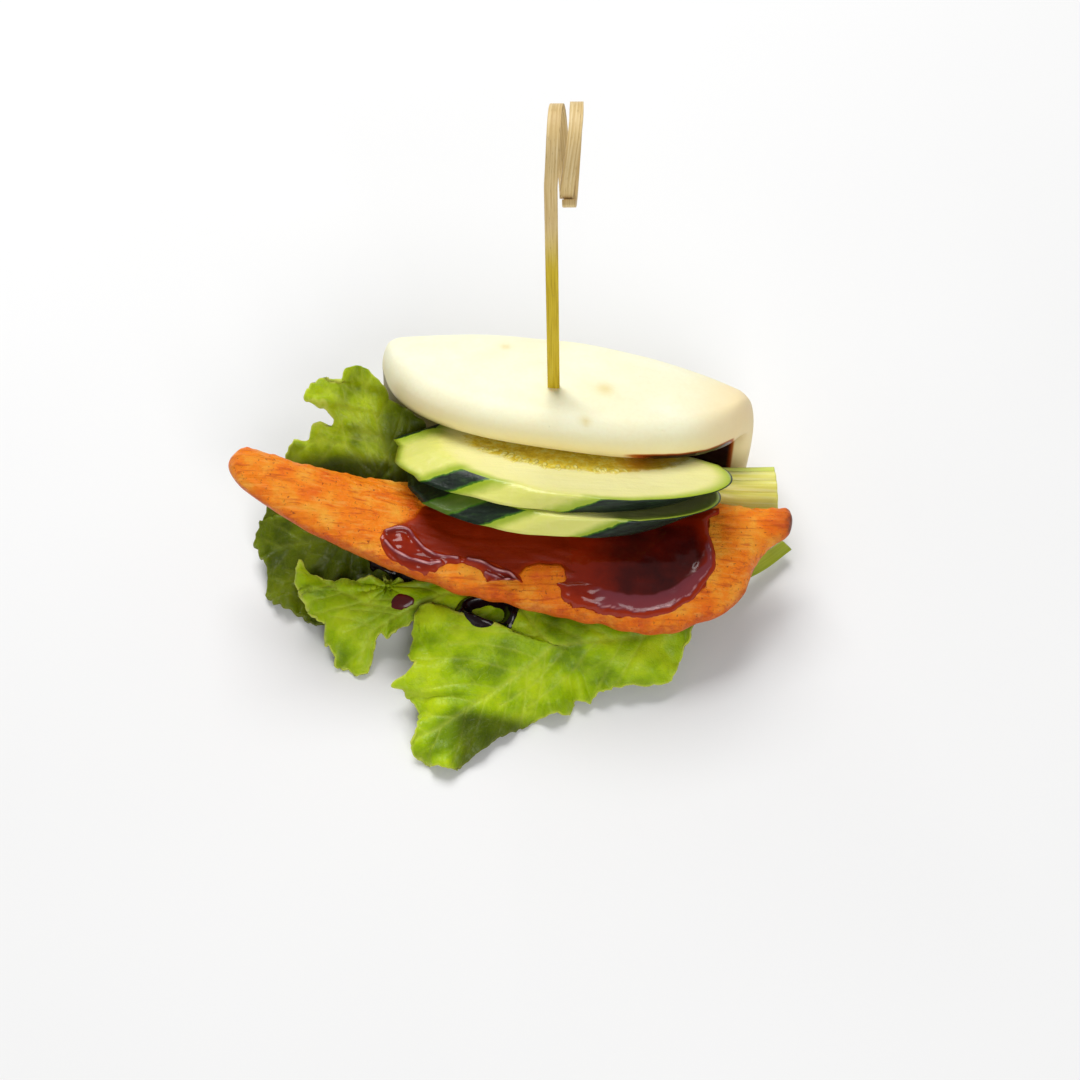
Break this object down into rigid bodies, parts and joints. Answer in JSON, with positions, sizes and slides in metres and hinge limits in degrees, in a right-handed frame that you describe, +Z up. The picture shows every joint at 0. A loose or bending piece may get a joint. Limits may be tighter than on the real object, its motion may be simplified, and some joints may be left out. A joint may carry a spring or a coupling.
{
  "type": "gua bao",
  "caption": "Folded steamed bun with leaf lettuce, glazed roast meat and cucumber slices in its open mouth, pinned by a looped bamboo pick.",
  "frame": {"origin": "middle of the box round the whole piece, on the flat underside of the bun", "axes": "+Z up, the bun's mouth and filling towards -Y, the long strip of meat along X"},
  "size_m": [0.1657, 0.1341, 0.154],
  "materials": {
    "dough": "satin steamed dough",
    "cucumber": "moist",
    "meat": "roasted and glazed, glossy",
    "lettuce": "moist leaf",
    "rib": "moist leaf rib",
    "bamboo": "plain split bamboo"
  },
  "bodies": {
    "root": {"bun": "dough", "cucumber_1": "cucumber", "cucumber_2": "cucumber", "meat": "meat", "lettuce_front": "lettuce", "lettuce_front_left": "lettuce", "lettuce_left": "lettuce", "lettuce_stem": "rib", "lettuce_sprig": "lettuce", "pick": "bamboo"}
  },
  "joints": []
}
